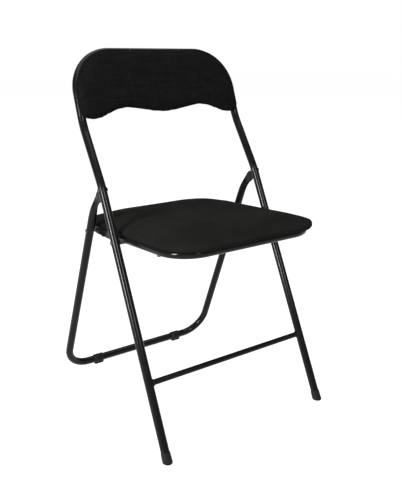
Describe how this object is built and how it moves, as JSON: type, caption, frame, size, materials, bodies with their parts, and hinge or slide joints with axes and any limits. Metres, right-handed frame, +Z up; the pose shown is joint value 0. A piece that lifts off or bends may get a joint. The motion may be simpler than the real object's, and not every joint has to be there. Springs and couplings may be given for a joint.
{
  "type": "folding chair",
  "caption": "Folding chair with a padded seat and a curved padded back on a bent steel tube frame; the rear frame and the seat fold flat against the front frame.",
  "frame": {"origin": "middle of the chair's footprint, on the floor", "axes": "+Z up, +Y towards the chair's back, +X to the right of someone facing the chair"},
  "size_m": [0.4392, 0.5024, 0.8021],
  "materials": {
    "gloss_black_steel": "gloss",
    "satin_black_steel": "satin",
    "black_zinc_steel": "satin",
    "black_rubber": "matte",
    "board": "matte",
    "seat_fabric": "velvet",
    "back_fabric": "matte"
  },
  "bodies": {
    "front_frame": {"front_frame_tube": "gloss_black_steel", "front_crossbar": "gloss_black_steel", "front_foot_left": "black_rubber", "front_foot_right": "black_rubber", "pivot_rivets": "black_zinc_steel", "seat_pivot_rivets": "black_zinc_steel", "seat_pivot_spacers": "black_zinc_steel", "back_board": "board", "back_pad": "back_fabric", "back_screws": "black_zinc_steel"},
    "rear_frame": {"rear_frame_tube": "gloss_black_steel", "rear_foot_left": "black_rubber", "rear_foot_right": "black_rubber", "rear_link_rivets": "black_zinc_steel"},
    "seat": {"seat_frame_tube": "gloss_black_steel", "seat_board": "board", "seat_pad": "seat_fabric", "seat_screws": "black_zinc_steel", "link_pins": "black_zinc_steel", "link_washers": "black_zinc_steel"},
    "fold_link_l": {"fold_link_left": "satin_black_steel", "link_stud_left": "black_zinc_steel"},
    "fold_link_r": {"fold_link_right": "satin_black_steel", "link_stud_right": "black_zinc_steel"}
  },
  "joints": [
    {"name": "rear_fold", "type": "hinge", "parent": "front_frame", "child": "rear_frame", "pos_m": [0, 0.01461, 0.5097], "axis": [-1, 0, 0], "range_deg": [0, 47.45]},
    {"name": "seat_fold", "type": "hinge", "parent": "front_frame", "child": "seat", "pos_m": [0, -0.03403, 0.4068], "axis": [1, 0, 0], "range_deg": [0, 67.91]},
    {"name": "link_swing_left", "type": "hinge", "parent": "seat", "child": "fold_link_l", "pos_m": [0, 0.01752, 0.40642], "axis": [-1, 0, 0], "range_deg": [0, 160.82]},
    {"name": "link_swing_right", "type": "hinge", "parent": "seat", "child": "fold_link_r", "pos_m": [0, 0.01752, 0.40642], "axis": [-1, 0, 0], "range_deg": [0, 160.82]}
  ],
  "couplings": [
    {"joint": "seat_fold", "follows": "rear_fold", "ratio": 1.4308},
    {"joint": "link_swing_left", "follows": "rear_fold", "ratio": 3.3888},
    {"joint": "link_swing_right", "follows": "rear_fold", "ratio": 3.3888}
  ]
}
